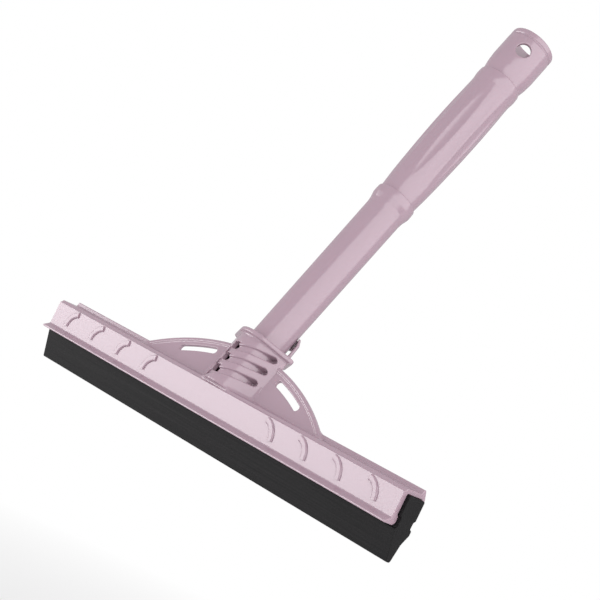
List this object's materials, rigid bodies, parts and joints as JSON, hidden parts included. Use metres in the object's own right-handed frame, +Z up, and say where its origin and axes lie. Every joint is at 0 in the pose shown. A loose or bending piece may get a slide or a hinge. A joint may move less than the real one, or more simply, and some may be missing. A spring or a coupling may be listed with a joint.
{
  "type": "window squeegee",
  "caption": "Hand squeegee for windows: a foam wiper blade in a moulded channel head with a braced socket, on a tapered tubular handle with a fluted grip and a hanging hole.",
  "frame": {"origin": "middle of the hanging hole, on the handle's axis", "axes": "+X along the head to the right as seen from its ribbed front, +Y from that front to the back, +Z up from the blade's tip to the channel's flat top; the handle leans back towards +Y by 21.2 degrees"},
  "size_m": [0.304, 0.1248, 0.2884],
  "materials": {
    "handle_plastic": "smooth injection-moulded gloss",
    "head_plastic": "smooth injection-moulded gloss",
    "blade_foam": "matt closed-cell foam rubber"
  },
  "bodies": {
    "handle": {"handle_tube": "handle_plastic", "handle_grip": "handle_plastic", "hanging_end": "handle_plastic"},
    "head": {"blade_channel": "head_plastic", "half_moon_brace": "head_plastic", "handle_socket": "head_plastic"},
    "blade": {"foam_blade": "blade_foam"}
  },
  "joints": [
    {"name": "handle_screw", "type": "hinge", "parent": "handle", "child": "head", "pos_m": [0, 0, 0], "axis": [0, 0.3616, 0.9323], "range_deg": [0, 900]},
    {"name": "blade_slide", "type": "slide", "parent": "head", "child": "blade", "axis": [1, 0, 0], "range_m": [0, 0.304]}
  ]
}
